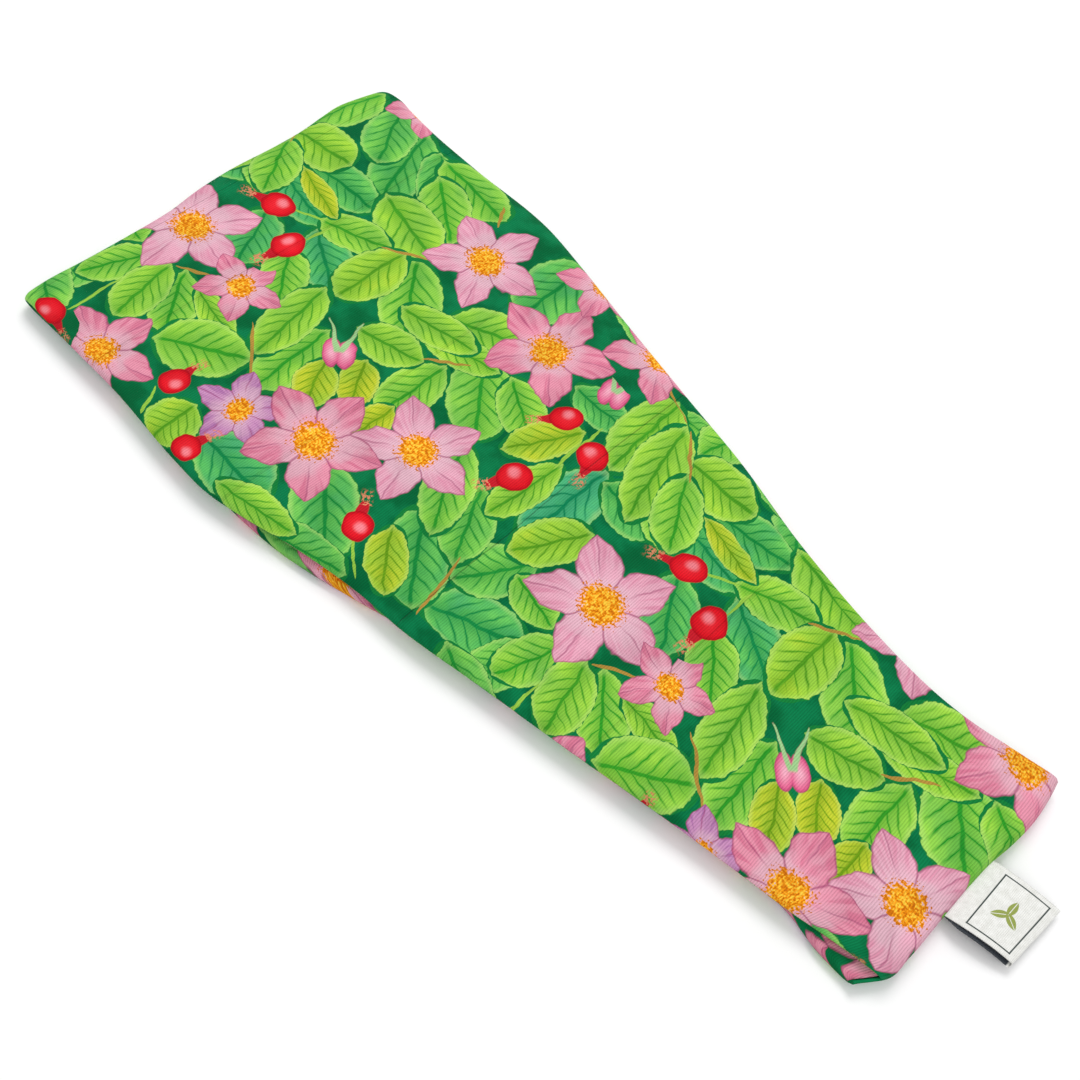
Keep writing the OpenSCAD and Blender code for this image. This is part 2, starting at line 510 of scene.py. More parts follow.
def threads(name, paths):
    """One object of threads along several paths."""
    points, faces = [], []
    for more_points, more_faces in map(tube, paths):
        faces += [[len(points) + k for k in face] for face in more_faces]
        points += more_points
    return mesh_object(name, points, faces)


def edge_stitches(half, start, end, edge):
    """The overlock thread of one long seam, a zigzag inside the tube."""
    count = int((end - start) / STITCH_PITCH * STITCH_POINTS)
    x = np.linspace(start, end, count)
    phase = 2 * math.pi * (x - FRONT_X) / STITCH_PITCH
    depth = STITCH_DEPTH + STITCH_SWING * np.sin(phase)
    width = (across(half, x, 1.0) - across(half, x, -1.0)) / 2
    v = edge * (1 - depth / width)
    outer, lining = heights(half, x, v)
    height = lining + (outer - lining) * STITCH_LEVEL + STITCH_RISE * np.cos(phase)
    return np.stack([x, across(half, x, v), MID_Z + HALVES[half] * height], -1)


def build_edge_thread(half, material):
    """Both long seams of one half, in the same lengths as the cloth."""
    ends = [FRONT_X + 4 * MM] + [link_middle(i) for i in range(1, LINKS)] + [SEAM_X - FIN_START - MM]
    for i, (start, end) in enumerate(zip(ends, ends[1:])):
        part = f"bend_{i}" if i else "front"
        seams = [edge_stitches(half, start, end, edge) for edge in (-1, 1)]
        piece = threads(f"{half}_edge_thread_{part}", seams)
        if i:
            blend_at(piece)
        else:
            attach(piece, f"{half}_link_1")
        finish(piece, material, "thread", f"{half}_edge_thread_{i + 1}")


# ---- back seam ----

INSIDE_DRIFT = 0.7  # share of the seam's drift that what lies inside it follows
LOOP_PITCH = 3 * MM
# Points of one overlock loop: (at the raw end, distance from there towards the seam, sideways in pitches,
# height as a share of the half-height)
LOOP = [
    (False, 0, -0.35, 1), (True, 1 * MM, -0.3, 1), (True, 0, -0.15, 0.6), (True, 0, 0.15, -0.6),
    (True, 1 * MM, 0.3, -1), (False, 0, 0.35, -1), (True, 1.4 * MM, 0.5, -0.9), (True, 0, 0.75, 0),
]


def inside_drift(y):
    return (seam_line(y) - SEAM_X) * INSIDE_DRIFT


def build_allowance(half, material):
    """The turned-in ends of both layers, pressed together inside the band."""
    low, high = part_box(f"{half}_seam_allowance")
    inner = low.z if half == "upper" else high.z
    x, y = np.meshgrid(np.linspace(low.x, high.x, 12), np.linspace(*FIN_SIDES, 80), indexing="ij")
    wave = 0.1 * MM * np.sin(y / (2.1 * MM) + x / (4 * MM))
    height = inner + HALVES[half] * (0.08 * MM + np.abs(wave))
    points = np.stack([x + inside_drift(y), y, height], -1)
    place = np.stack([x, y, 0 * x], -1) / MM
    piece = grid_object(f"{half}_allowance", points, half == "upper", place)
    thicken(piece, ALLOWANCE_PLY)
    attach(piece, "back_seam")
    finish(piece, material, "lining_fabric", f"{half}_seam_allowance")


def build_overlock(material):
    """The loops of thread that bind the raw ends of both allowances."""
    low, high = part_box("overlock_thread")
    half_height = high.z - MID_Z - THREAD_RADIUS
    start, end = FIN_SIDES
    count = int((end - start) / LOOP_PITCH) + 1
    path = []
    for k in range(count):
        y = start + (end - start) * (k + 0.5) / count
        drift = float(inside_drift(np.array(y)))
        inside, raw = high.x + drift, low.x + THREAD_RADIUS + drift
        for at_raw_end, toward, sideways, level in LOOP:
            x = (raw if at_raw_end else inside) + toward
            path.append((x, y + sideways * LOOP_PITCH, MID_Z + level * half_height))
    piece = threads("overlock_loops", [path])
    smoothing = piece.modifiers.new("round loops", "SUBSURF")
    smoothing.levels = smoothing.render_levels = 2
    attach(piece, "back_seam")
    finish(piece, material, "thread", "overlock_thread")


# ---- label ----

LABEL_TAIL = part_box("label_tail")[0].x
LABEL_LOW, LABEL_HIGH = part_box("label")
LABEL_WIDTH = LABEL_HIGH.y - LABEL_LOW.y
LABEL_TIP = LABEL_HIGH.x
LABEL_OUT = 17 * MM  # length outside the seam over which its curls develop
LABEL_SKEW = 0.17  # how far it leans sideways, per length
LABEL_SLANT = 0.085  # how much longer it is on its +Y side, per width
LABEL_HALF_GAP = 0.22 * MM  # from the middle of the fold to a ply at the seam
LABEL_OPENS = 1.3  # the gap grows by this share towards the tip
LABEL_STEPS = 70  # points along one ply
LABEL_COLUMNS = 49
PLY_ASIDE = 0.9 * MM  # the lower ply shows this far beside the upper one
ARCH = 0.9 * MM
DROOP = 1.5 * MM
CURL = {"near": 0.25 * MM, "back": -0.55 * MM}  # how far each long side lifts at the tip


def label_profile():
    """Side view of the ribbon as x, z and length: out, round its fold at the tip and back below."""
    out = np.linspace(LABEL_TAIL, LABEL_TIP - 0.6 * MM, LABEL_STEPS)
    turn = np.linspace(math.pi / 2, -math.pi / 2, 11)[1:-1]
    x = np.concatenate([out, out[-1] + 0.5 * MM * np.cos(turn), out[::-1]])
    gap = LABEL_HALF_GAP * (1 + LABEL_OPENS * smooth(out, SEAM_X, LABEL_TIP))
    z = np.concatenate([gap, gap[-1] * np.sin(turn), -gap[::-1]])
    length = np.concatenate([[0], np.cumsum(np.hypot(np.diff(x), np.diff(z)))])
    return x, z, length


def build_label(material):
    """A ribbon folded in two, which leans to one side, arches out of the seam and curls at its sides."""
    x, z, length = label_profile()
    x, v = np.meshgrid(x, np.linspace(-0.5, 0.5, LABEL_COLUMNS), indexing="ij")
    z = np.broadcast_to(z[:, None], x.shape)
    length = np.broadcast_to(length[:, None], x.shape)
    past = np.clip(x - SEAM_X, 0, None)
    below = (z < 0) * smooth(past, 0, 6 * MM)
    y = v * LABEL_WIDTH + LABEL_SKEW * past - 0.5 * MM - below * PLY_ASIDE
    arch = ARCH * np.sin(past / (7.5 * MM)) - DROOP * (past / LABEL_OUT) ** 2
    side_curl = np.where(v < 0, CURL["near"], CURL["back"])
    curl = side_curl * (2 * v) ** 2 * smooth(past, 3 * MM, 16 * MM)
    slant = past * LABEL_SLANT * v * LABEL_WIDTH / LABEL_OUT
    points = np.stack([x + slant, y, MID_Z + z + arch + curl], -1)
    place = np.stack([length, v * LABEL_WIDTH, 0 * v], -1) / MM
    piece = grid_object("woven_label", points, attribute=place)
    thicken(piece, LABEL_PLY)
    blend(piece)
    finish(piece, material, "label_ribbon", "label", "label_tail")


# ---- cloth simulation ----

SIM_SCALE = 10  # the solver is steadier on a cloth of metres than of millimetres
SIM_CELL = 3 * MM
SIM_COLUMNS = 41
SIM_FRAMES = 24
SIM_SEED = 7
SIM_NOISE = 0.05 * MM  # unevenness of the sheet before it settles
SIM_SLACK = 0.03  # spare fabric in the outer panel, as a share of its length
SIM_BED = 0.07  # how firmly the layers below hold the panel
SIM_SHARE = 0.3  # the band was smoothed out by hand, so only this share of the rise is left
SIM_CAP = 0.8 * MM  # the most that the fabric may rise or sink
SIM_SETTINGS = {
    "quality": 5, "mass": 0.2, "air_damping": 4, "tension_stiffness": 20, "compression_stiffness": 20,
    "shear_stiffness": 8, "bending_stiffness": 0.6, "vertex_group_mass": "held", "pin_stiffness": 1.0,
    "shrink_min": -SIM_SLACK,
}


def hold(obj, index):
    """Sews the sheet down at its edges and ends, and rests it on the layers below."""
    held = obj.vertex_groups.new(name=SIM_SETTINGS["vertex_group_mass"])
    held.add(index.ravel().tolist(), SIM_BED, "REPLACE")
    rim = np.concatenate([index[:2].ravel(), index[-3:].ravel(), index[:, 0], index[:, -1]])
    held.add(rim.tolist(), 1.0, "REPLACE")


def simulate(obj):
    """Runs the cloth solver and returns the points of the settled sheet."""
    settings = obj.modifiers.new("cloth", "CLOTH").settings
    for name, value in SIM_SETTINGS.items():
        setattr(settings, name, value)
    settings.effector_weights.gravity = 0
    scene = bpy.context.scene
    scene.frame_start, scene.frame_end = 1, SIM_FRAMES
    for step in range(1, SIM_FRAMES + 1):
        scene.frame_set(step)
    shape = obj.evaluated_get(bpy.context.evaluated_depsgraph_get()).to_mesh()
    points = np.zeros(len(shape.vertices) * 3)
    shape.vertices.foreach_get("co", points)
    scene.frame_set(1)
    return points


def settle():
    """Lets the upper outer panel settle as cloth with some slack.

    Returns the places along and across at which it was worked out, and how far it rose there.
    """
    xs = np.linspace(FRONT_X, SEAM_X, int(round((SEAM_X - FRONT_X) / SIM_CELL)) + 1)
    vs = np.linspace(-1, 1, SIM_COLUMNS)
    x, v = np.meshgrid(xs, vs, indexing="ij")
    sheet = np.stack([x, across("upper", x, v), layer_height("upper", "outer", x, v)], -1)
    draw = np.random.default_rng(SIM_SEED)
    sheet[..., 2] += draw.normal(0, SIM_NOISE, x.shape)
    obj = grid_object("cloth_trial", sheet * SIM_SCALE)
    hold(obj, np.arange(x.size).reshape(x.shape))
    points = simulate(obj)
    bpy.data.objects.remove(obj)
    rise = points.reshape(sheet.shape)[..., 2] / SIM_SCALE - sheet[..., 2]
    return xs, vs, SIM_CAP * np.tanh(SIM_SHARE * rise / SIM_CAP)


# ---- shader graphs ----

def operation(name):
    """A method of Graph that adds a math node."""
    return lambda graph, a, b=0.0: graph.math(name, a, b)


class Graph:
    """Builds a material's nodes from short calls. Values are sockets or plain numbers."""

    add, sub, mul, power = map(operation, ("ADD", "SUBTRACT", "MULTIPLY", "POWER"))
    abs, sine, cosine, root = map(operation, ("ABSOLUTE", "SINE", "COSINE", "SQRT"))
    less, greater, fold = map(operation, ("LESS_THAN", "GREATER_THAN", "PINGPONG"))

    def __init__(self, name):
        self.material = bpy.data.materials.new(name)
        self.material.use_nodes = True
        self.tree = self.material.node_tree
        self.tree.nodes.clear()

    def node(self, kind, inputs, output=0, **settings):
        made = self.tree.nodes.new(kind)
        for key, value in settings.items():
            setattr(made, key, value)
        for key, value in inputs.items():
            self.connect(made.inputs[key], value)
        return made.outputs[output]

    def connect(self, socket, value):
        if isinstance(value, bpy.types.NodeSocket):
            self.tree.links.new(value, socket)
        elif isinstance(value, (tuple, list)) or socket.type not in ("RGBA", "VECTOR"):
            socket.default_value = value
        else:
            socket.default_value = [value] * len(socket.default_value)

    def math(self, operation, a, b=0.0, c=0.0):
        return self.node("ShaderNodeMath", {0: a, 1: b, 2: c}, operation=operation)

    def max(self, first, *others):
        for other in others:
            first = self.math("MAXIMUM", first, other)
        return first

    def around_zero(self, noise, width):
        """Noise from 0 to 1, moved to lie around 0 with that width."""
        return self.mul(self.sub(noise, 0.5), width)

    def hypot(self, x, y):
        return self.root(self.add(self.mul(x, x), self.mul(y, y)))

    def vector(self, operation, a, b=(0, 0, 0)):
        return self.node("ShaderNodeVectorMath", {0: a, 1: b}, operation=operation)

    def scale(self, a, factor):
        """A vector or a colour times a number."""
        return self.node("ShaderNodeVectorMath", {0: a, "Scale": factor}, operation="SCALE")

    def after(self, a, earlier):
        """The same vector a, but worked out only once the other value is known."""
        return self.node("ShaderNodeVectorMath", {0: earlier, 1: (0, 0, 0), 2: a}, operation="MULTIPLY_ADD")

    def length(self, a):
        return self.node("ShaderNodeVectorMath", {0: a}, output=1, operation="LENGTH")

    def wrap(self, a, low, high):
        return self.node("ShaderNodeVectorMath", {0: a, 1: high, 2: low}, operation="WRAP")

    def place(self, point, at, turn_deg, size):
        """The point in the coordinates of something that lies there, turned and sized."""
        inputs = {"Vector": point, "Location": at, "Rotation": (0, 0, math.radians(turn_deg)), "Scale": size}
        return self.node("ShaderNodeMapping", inputs, vector_type="TEXTURE")

    def mix(self, factor, a, b):
        return self.node("ShaderNodeMix", {0: factor, 2: a, 3: b}, data_type="FLOAT")

    def mix_vector(self, factor, a, b):
        return self.node("ShaderNodeMix", {0: factor, 4: a, 5: b}, output=1, data_type="VECTOR")

    def mix_color(self, factor, a, b):
        return self.node("ShaderNodeMix", {0: factor, 6: a, 7: b}, output=2, data_type="RGBA")

    def split(self, a):
        made = self.tree.nodes.new("ShaderNodeSeparateXYZ")
        self.connect(made.inputs[0], a)
        return made.outputs[0], made.outputs[1], made.outputs[2]

    def join(self, x, y, z):
        return self.node("ShaderNodeCombineXYZ", {0: x, 1: y, 2: z})

    def smooth(self, a, low, high, top=1.0):
        """Rises from 0 at low to top at high; high may be less than low."""
        return self.node("ShaderNodeMapRange", {0: a, 1: low, 2: high, 3: 0.0, 4: top},
                         interpolation_type="SMOOTHSTEP")

    def noise_texture(self, point, scale, detail, output):
        """Blender's noise: one number from output 0, or three from output 1."""
        inputs = {"Vector": point, "Scale": scale, "Detail": detail, "Roughness": 0.5}
        return self.node("ShaderNodeTexNoise", inputs, output)

    def noise(self, point, scale, detail):
        """Noise stretched to fill most of the range from 0 to 1."""
        raw = self.noise_texture(point, scale, detail, 0)
        return self.node("ShaderNodeMapRange", {0: raw, 1: 0.27, 2: 0.73, 3: 0.0, 4: 1.0})

    def noise_vector(self, point, scale, detail):
        return self.noise_texture(point, scale, detail, 1)

    def ramp(self, factor, stops):
        made = self.tree.nodes.new("ShaderNodeValToRGB")
        elements = made.color_ramp.elements
        while len(elements) < len(stops):
            elements.new(0.5)
        for element, (position, color) in zip(elements, stops):
            element.position = position
            element.color = color
        self.connect(made.inputs[0], factor)
        return made.outputs[0]

    def attribute(self, name):
        return self.node("ShaderNodeAttribute", {}, output=1, attribute_name=name)

    def finish(self, color, roughness, height, relief, sheen, specular):
        """Ends the material. relief is the depth of the bump in metres, over heights from 0 to 1."""
        bump = self.node("ShaderNodeBump", {"Strength": 1.0, "Distance": relief, "Height": height})
        inputs = {"Base Color": color, "Roughness": roughness, "Normal": bump, "Sheen Weight": sheen,
                  "Sheen Roughness": 0.45, "Specular IOR Level": specular}
        surface = self.node("ShaderNodeBsdfPrincipled", inputs)
        output = self.tree.nodes.new("ShaderNodeOutputMaterial")
        self.tree.links.new(surface, output.inputs["Surface"])
        return self.material


# ---- the print, in millimetres along and across the fabric ----

REPEAT = 150  # length of one repeat of the print along the fabric
GROUP = 8  # how many motifs are worked out at a time
NOWHERE = 9  # the coordinates that stand for no motif
MOTIF_LIMIT = 5  # above any coordinate inside a motif, below NOWHERE
LEAF_GROWTH = 1.2  # the leaves were listed too small by this factor
STEM_HALF = 0.45  # half the thickness of a stem
PETALS = 5
PETAL_WIDEST = 0.56  # share of the reach at which a petal is widest
HIP_BACK, HIP_LONG, HIP_WIDE = 0.8, 2.2, 1.5  # of a hip's ellipse, in radii of the fruit
# Kinds of motif, as numbers that travel through the shader
STEM_FROM, STEM_TAN, STEM_GREEN = 0.845, 0.86, 0.94  # the tones of leaves lie below
ROSE_PINK, ROSE_PALE, ROSE_LILAC, HIP, BUD = 0.10, 0.25, 0.40, 0.60, 0.80
KIND_MARGIN = 0.05  # kinds that lie further apart are told apart

# (along, across, length, width, turn, tone): tone runs from teal 0.0 to yellow-green 0.8
LEAVES = [
    (131.7, -0.4, 27, 13, 90, 0.02), (72.4, 51.4, 21, 15, 0, 0.12), (15.0, -17.8, 21, 12, 10, 0.12),
    (36.7, -7.4, 21, 12, 30, 0.12), (18.3, 2.0, 20, 12, 60, 0.18), (23.1, -47.4, 29, 14, 70, 0.26),
    (11.8, -52.6, 22, 13, 60, 0.30), (32.9, -51.2, 20, 10, 50, 0.26), (18.8, -29.5, 20, 12, -5, 0.20),
    (82.3, -48.3, 26, 16, 90, 0.22), (143.5, -12.6, 17, 12, 0, 0.20), (140.2, 37.7, 22, 14, -20, 0.16),
    (118.5, 35.4, 24, 14, 50, 0.22), (95.0, 42.9, 26, 14, 40, 0.24), (0.5, 53.2, 14, 11, 90, 0.26),
    (117.6, -28.6, 16, 10, 0, 0.22), (0.5, 42.0, 18, 10, 100, 0.32), (133.1, 24.1, 19, 12, 120, 0.30),
    (137.3, -44.6, 19, 9, -15, 0.36), (100.0, 55.0, 20, 12, -15, 0.30), (149.0, 52.0, 20, 12, 30, 0.34),
    (107.0, -60.0, 20, 12, 10, 0.30), (-4.2, -50.7, 24, 12, 100, 0.45), (42.3, -56.8, 24, 15, 5, 0.48),
    (42.8, -45.0, 22, 13, 35, 0.50), (119.9, 20.3, 20, 11, 60, 0.34), (109.1, 16.5, 25, 11, 60, 0.46),
    (33.9, 4.3, 17, 11, 50, 0.50), (95.0, -7.9, 23, 15, 50, 0.44), (61.0, -15.4, 26, 14, 50, 0.48),
    (81.8, -23.9, 20, 14, -20, 0.56), (0.8, -18.7, 19, 12, 60, 0.48), (3.8, -34.7, 19, 14.5, -5, 0.62),
    (40.9, -33.3, 24, 15, 15, 0.58), (33.9, -20.1, 19, 11, -20, 0.54), (16.5, -22.5, 18, 6, 14, 0.80),
    (82.3, 4.3, 21, 11, 90, 0.52), (104.4, -13.5, 18, 11, 30, 0.50), (81.8, -14.0, 20, 9, -15, 0.58),
    (72.4, -15.0, 21, 10, -10, 0.60), (68.2, -1.8, 17, 11, -15, 0.60), (47.5, -13.5, 21, 13, 90, 0.66),
    (56.4, 20.8, 23, 12, 85, 0.48), (46.6, 12.8, 25, 11, 80, 0.58), (4.7, 34.4, 18, 10, 110, 0.50),
    (24.5, 31.6, 19, 11, 50, 0.50), (16.2, 35.4, 19, 11, 75, 0.56), (33.9, 26.4, 16, 7, 10, 0.60),
    (40.4, 35.4, 21, 15, -35, 0.52), (53.2, 55.1, 14, 12, 90, 0.66), (84.2, 55.1, 20, 9, -10, 0.56),
    (72.0, 12.8, 14, 9, 60, 0.82), (65.9, 21.3, 15, 9, 60, 0.80), (83.3, 18.0, 13, 8, 90, 0.82),
    (130.3, -32.4, 28, 13, 85, 0.58), (139.7, -25.8, 30, 12, 75, 0.60), (151.4, -20.1, 20, 11, 60, 0.52),
    (114.8, -10.7, 19, 10, 120, 0.76), (121.8, 3.4, 21, 9, 95, 0.60), (136.4, 9.0, 19, 11, 120, 0.68),
    (144.9, 23.1, 14, 9, 15, 0.50), (114.8, 41.5, 17, 9, 50, 0.78),
]

# (along, across, length, turn, kind)
STEMS = [
    (47.5, -25.3, 13, -30, STEM_TAN), (54.1, -55.9, 9, 60, STEM_TAN), (48.0, 26.4, 19, 42, STEM_TAN),
    (19.3, 21.7, 11, -28, STEM_TAN), (9.9, 45.2, 17, 90, STEM_GREEN), (44.5, 55.3, 10, 65, STEM_GREEN),
    (129.3, -47.0, 13, 33, STEM_TAN), (142.0, -35.7, 17, 52, STEM_TAN), (122.3, -15.4, 19, 90, STEM_GREEN),
    (127.5, 37.3, 19, 78, STEM_TAN), (19.8, -14.5, 11, -25, STEM_GREEN), (27.8, -12.6, 9, 90, STEM_GREEN),
    (81.4, -8.8, 13, -40, STEM_TAN), (108.6, 46.2, 13, 45, STEM_GREEN),
]

# (along, across, reach, turn of one petal or direction of a bud's tip, kind); the first list lies lowest
LOW_ROSES = [
    (96.7, 15.0, 17, 2, ROSE_PALE), (60.6, 40.0, 12, 18, ROSE_LILAC), (95.7, -32.5, 18.5, -26, ROSE_PINK),
    (6.0, 12.0, 19, 8, ROSE_PALE), (10.0, -70.0, 13, 54, ROSE_PINK),
]
ROSES = [
    (90.0, -61.0, 14, 75, ROSE_PINK), (116.6, -55.0, 17, 62, ROSE_PINK), (25.4, 55.0, 16, -90, ROSE_PINK),
    (78.4, 32.0, 18, -25, ROSE_PINK), (62.9, -40.9, 17.5, -8, ROSE_PALE), (30.4, 15.6, 12, -18, ROSE_PINK),
]
BUDS = [(60.7, 8.1, 9.5, 50, BUD), (115.7, -37.0, 9, 70, BUD)]

# (along, across, radius, direction from the neck to the fruit)
HIPS = [
    (13.2, -10.9, 4.2, -22), (26.1, -3.7, 4.3, -88), (113.8, -19.7, 3.7, -48), (126.3, -16.4, 4.0, -108),
    (117.6, 2.4, 4.0, -65), (103.5, 40.0, 3.7, 55), (44.4, 46.7, 3.6, 92), (61.1, 57.0, 3.7, 100),
    (7.0, 57.0, 4.0, 200),
]


def srgb(red, green, blue):
    """A colour picked on a screen's 0 to 255 scale, as the linear values that nodes use."""
    return tuple(c / 12.92 if c <= 0.04045 else ((c + 0.055) / 1.055) ** 2.4
                 for c in (red / 255, green / 255, blue / 255)) + (1,)


GROUND = srgb(2, 104, 58)
GROUND_LIGHT = srgb(8, 120, 72)
LEAF_SHADOW = srgb(20, 126, 58)
LEAF_RIM = srgb(206, 236, 138)
STEM_COLORS = (srgb(178, 140, 62), srgb(150, 200, 72))
PETAL_PALE = srgb(238, 200, 212)
PETAL_LINE = srgb(156, 56, 104)
HIP_GLINT = srgb(250, 150, 160)
HIP_NECK = srgb(200, 30, 44)
HIP_WISPS = srgb(226, 140, 104)
SEPAL = srgb(160, 206, 142)
# Ramps of (position, colour)
LEAF_BODY = [
    (0.0, srgb(78, 184, 128)), (0.18, srgb(92, 190, 96)), (0.35, srgb(124, 204, 86)),
    (0.52, srgb(150, 212, 76)), (0.68, srgb(164, 214, 66)), (0.84, srgb(192, 204, 52)),
]
LEAF_VEIN = [
    (0.0, srgb(0, 128, 84)), (0.2, srgb(4, 130, 58)), (0.5, srgb(30, 150, 36)), (0.84, srgb(104, 152, 18)),
]
ROSES_BY_TONE = (ROSE_PINK, ROSE_PALE, ROSE_LILAC)
PETAL_TONE = list(zip(ROSES_BY_TONE, (srgb(228, 146, 168), srgb(230, 168, 188), srgb(198, 140, 184))))
PETAL_DEEP = list(zip(ROSES_BY_TONE, (srgb(204, 96, 130), srgb(212, 126, 156), srgb(156, 92, 156))))
STAMENS = [(0.2, srgb(206, 112, 14)), (0.45, srgb(244, 148, 16)), (0.75, srgb(254, 206, 66))]
HIP_RED = [(0.2, srgb(236, 40, 52)), (0.75, srgb(226, 22, 36)), (1.0, srgb(176, 10, 28))]
BUD_PINK = [(0.1, srgb(246, 176, 196)), (0.8, srgb(228, 104, 146)), (1.0, srgb(176, 60, 104))]


def repeat_frames(g, p):
    """The fabric coordinate cut into repeats at two places: any motif lies whole in one of them."""
    return [g.wrap(p, (first, -REPEAT, -1), (first + REPEAT, REPEAT, 1)) for first in (-REPEAT / 2, 0)]


def stamp(g, frames, below, at, size, turn, kind):
    """Lays a motif over what is below: its own coordinates and kind, inside its ellipse."""
    along = (at[0] + REPEAT / 2) % REPEAT - REPEAT / 2
    if abs(along) < REPEAT / 4:
        point = frames[0]
    else:
        point, along = frames[1], along % REPEAT
    local = g.place(point, (along, at[1], -kind), turn, (size[0], size[1], 1))
    inside = g.less(g.length(local), math.sqrt(1 + kind * kind))
    return g.mix_vector(inside, below, local)


def leaf_motifs():
    """A motif is (place, half-size, turn, kind). The kind of a leaf is its tone."""
    grown = LEAF_GROWTH / 2
    return [((u, w), (grown * length, grown * width), turn, tone)
            for u, w, length, width, turn, tone in LEAVES]


def stem_motifs():
    return [((u, w), (length / 2, STEM_HALF), turn, kind) for u, w, length, turn, kind in STEMS]


def round_motifs(flowers):
    return [((u, w), (reach, reach), turn, kind) for u, w, reach, turn, kind in flowers]


def hip_motifs():
    """A hip's ellipse also holds its neck, so it is centred behind the fruit."""
    motifs = []
    for u, w, r, turn in HIPS:
        back, angle = HIP_BACK * r, math.radians(turn)
        at = (u - back * math.cos(angle), w - back * math.sin(angle))
        motifs.append((at, (HIP_LONG * r, HIP_WIDE * r), turn, HIP))
    return motifs


def lay(g, frames, motifs):
    """Stamps the motifs in order. Each group waits for the last, to spare the renderer's memory."""
    top = (NOWHERE, NOWHERE, 0)
    for number, motif in enumerate(motifs, 1):
        top = stamp(g, frames, top, *motif)
        if number % GROUP == 0:
            frames = [g.after(f, top) for f in frames]
    return top


def vein_darkness(g, x, side, radius, wash):
    """How dark a leaf is: slanting side veins widen towards the midrib and fade before the edge."""
    phase = g.sub(g.mul(x, 3.6), g.mul(side, 2.2))
    wave = g.abs(g.sine(g.mul(phase, math.pi)))
    fading = g.smooth(radius, 1.02, 0.5)
    feather = g.mul(g.mul(g.smooth(wave, g.sub(1.0, g.mul(side, 0.6)), 0.1), fading), 0.68)
    vein = g.mul(g.smooth(wave, 0.3, 0.06), fading)
    midrib = g.smooth(side, 0.12, 0.03, 0.95)
    hollow = g.mul(g.smooth(side, 0.6, 0.0), g.add(0.28, g.mul(wash, 0.4)))
    return g.max(vein, midrib, feather, hollow)


def leaf_color(g, x, y, tone, wash, grain):
    """A leaf with a pale rim and dark veins. Its outline has saw teeth, and a blunt point at each end."""
    side, radius = g.abs(y), g.hypot(x, y)
    body = g.ramp(g.add(tone, g.around_zero(wash, 0.22)), LEAF_BODY)
    color = g.mix_color(vein_darkness(g, x, side, radius, wash), body, g.ramp(tone, LEAF_VEIN))
    rim = g.smooth(radius, 0.78, 0.96, 0.6)
    color = g.mix_color(rim, color, g.mix_color(0.5, body, LEAF_RIM))
    teeth = g.mul(g.sine(g.mul(x, 34.0)), 0.014)
    point = g.mul(g.power(g.abs(x), 5), g.mul(side, 0.7))
    outline = g.add(g.add(radius, teeth), g.add(point, g.around_zero(grain, 0.04)))
    return g.mix_color(g.smooth(outline, 0.965, 1.0), color, LEAF_SHADOW)


def foliage_color(g, top, wash, grain):
    """Leaves, stems and, where there are none, the ground."""
    x, y, tone = g.split(top)
    stem = g.mix_color(g.greater(tone, (STEM_TAN + STEM_GREEN) / 2), *STEM_COLORS)
    color = g.mix_color(g.greater(tone, STEM_FROM), leaf_color(g, x, y, tone, wash, grain), stem)
    ground = g.mix_color(g.smooth(wash, 0.3, 0.8), GROUND, GROUND_LIGHT)
    return g.mix_color(g.greater(x, MOTIF_LIMIT), color, ground)


def petal_width(g, along):
    """Half the width of a petal, as a share of its reach: widest past the middle, narrowing to a point."""
    outward = g.max(g.mul(g.sub(along, PETAL_WIDEST), 1 / (1 - PETAL_WIDEST)), 0)
    inward = g.max(g.mul(g.sub(PETAL_WIDEST, along), 1 / PETAL_WIDEST), 0)
    narrowing = g.add(g.power(outward, 1.7), g.mul(g.mul(inward, inward), 0.4))
    return g.mul(g.sub(1, narrowing), 0.3)


def petal_color(g, angle, radius, kind, wash):
    """Streaks run out along a petal and deepen towards its tip; the middle of the rose is pale."""
    fan = g.join(g.mul(angle, 8.0), g.mul(radius, 1.2), g.mul(kind, 20))
    toward_tip = g.smooth(radius, 0.3, 0.95)
    streaks = g.add(g.noise(fan, 1.0, 2), g.mul(toward_tip, 0.25))
    blush = g.smooth(streaks, 0.5, 0.95, 0.6)
    color = g.mix_color(blush, g.ramp(kind, PETAL_TONE), g.ramp(kind, PETAL_DEEP))
    pale = g.smooth(g.add(radius, g.around_zero(wash, 0.6)), 0.66, 0.3, 0.55)
    return g.mix_color(pale, color, PETAL_PALE)


